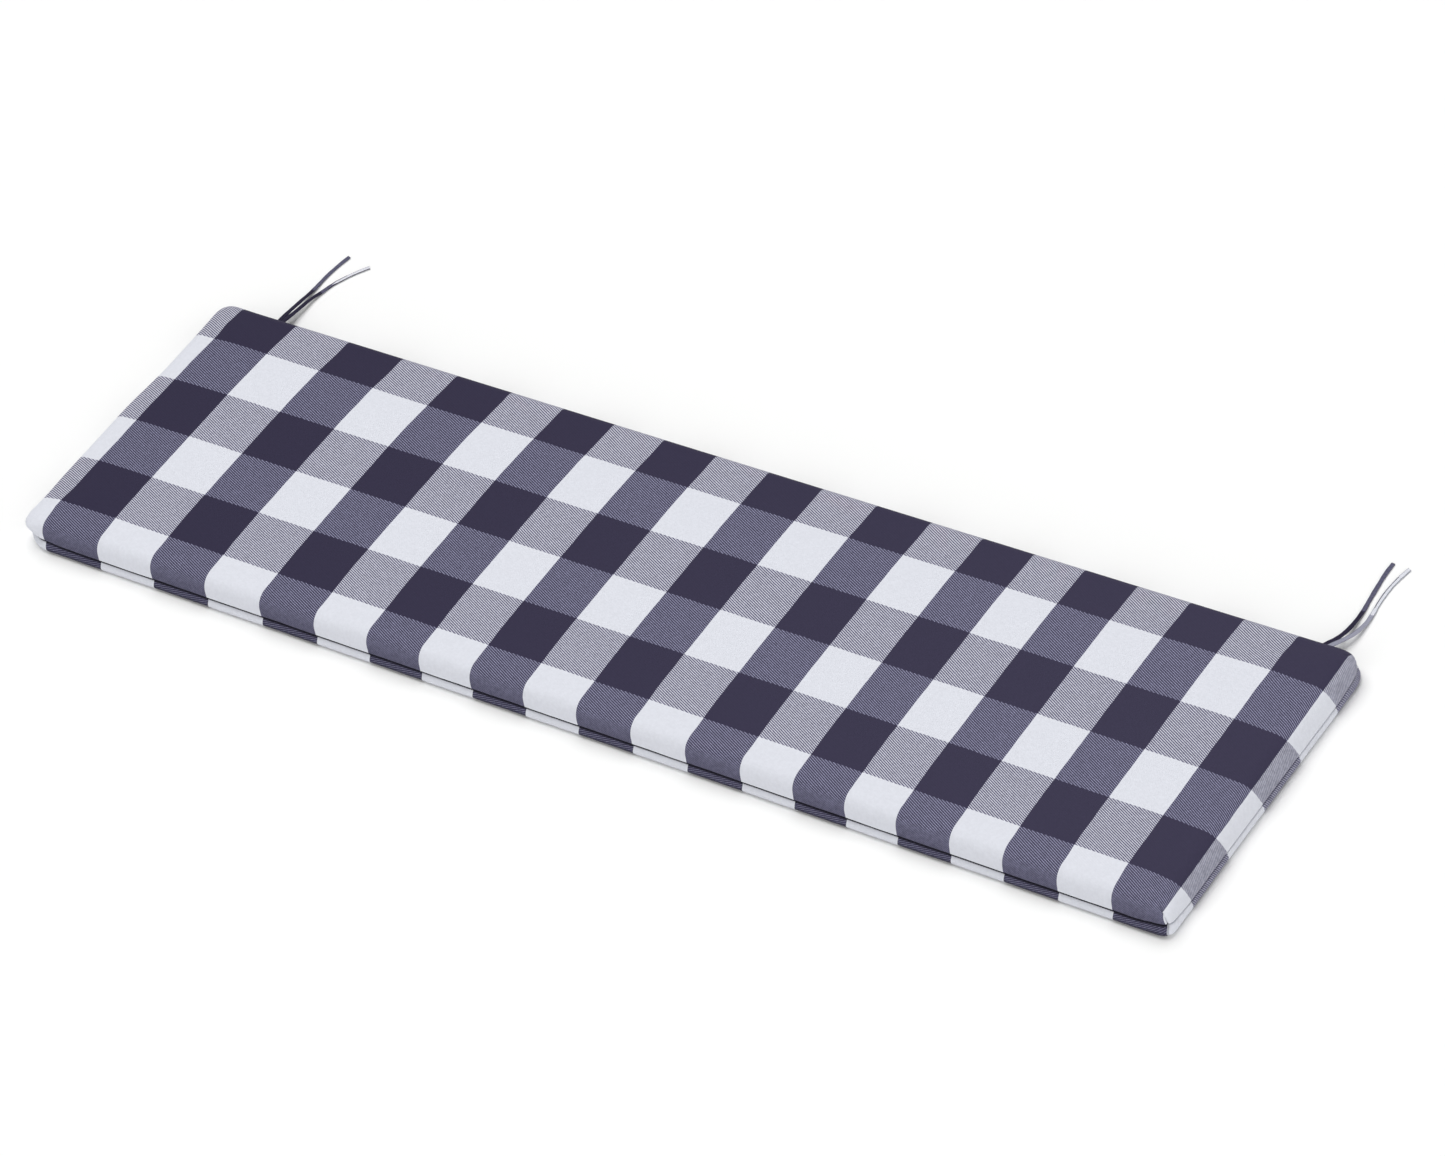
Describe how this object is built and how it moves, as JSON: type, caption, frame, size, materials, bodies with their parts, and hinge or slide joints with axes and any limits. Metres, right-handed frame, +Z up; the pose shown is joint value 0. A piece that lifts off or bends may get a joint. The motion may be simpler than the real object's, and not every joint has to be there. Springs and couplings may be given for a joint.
{
  "type": "bench cushion",
  "caption": "Long thin bench seat cushion: filled pad in a sewn check cover, with a side seam, boxed corners and cloth ties at the back edge.",
  "frame": {"origin": "centre of the cushion's flat underside, on the surface it lies on", "axes": "+X along the cushion's length, +Y towards its back edge where the ties are, +Z up through its thickness"},
  "size_m": [1.531, 0.534, 0.0394],
  "materials": {
    "cover": "matt woven twill in a navy and white check",
    "tie_navy": "matt woven twill, folded and stitched",
    "tie_blend": "matt woven twill, folded and stitched",
    "tie_pale": "matt woven twill, folded and stitched"
  },
  "bodies": {
    "root": {"cushion": "cover", "tie_left_a": "tie_navy", "tie_left_b": "tie_blend", "tie_right_a": "tie_navy", "tie_right_b": "tie_pale"}
  },
  "joints": []
}
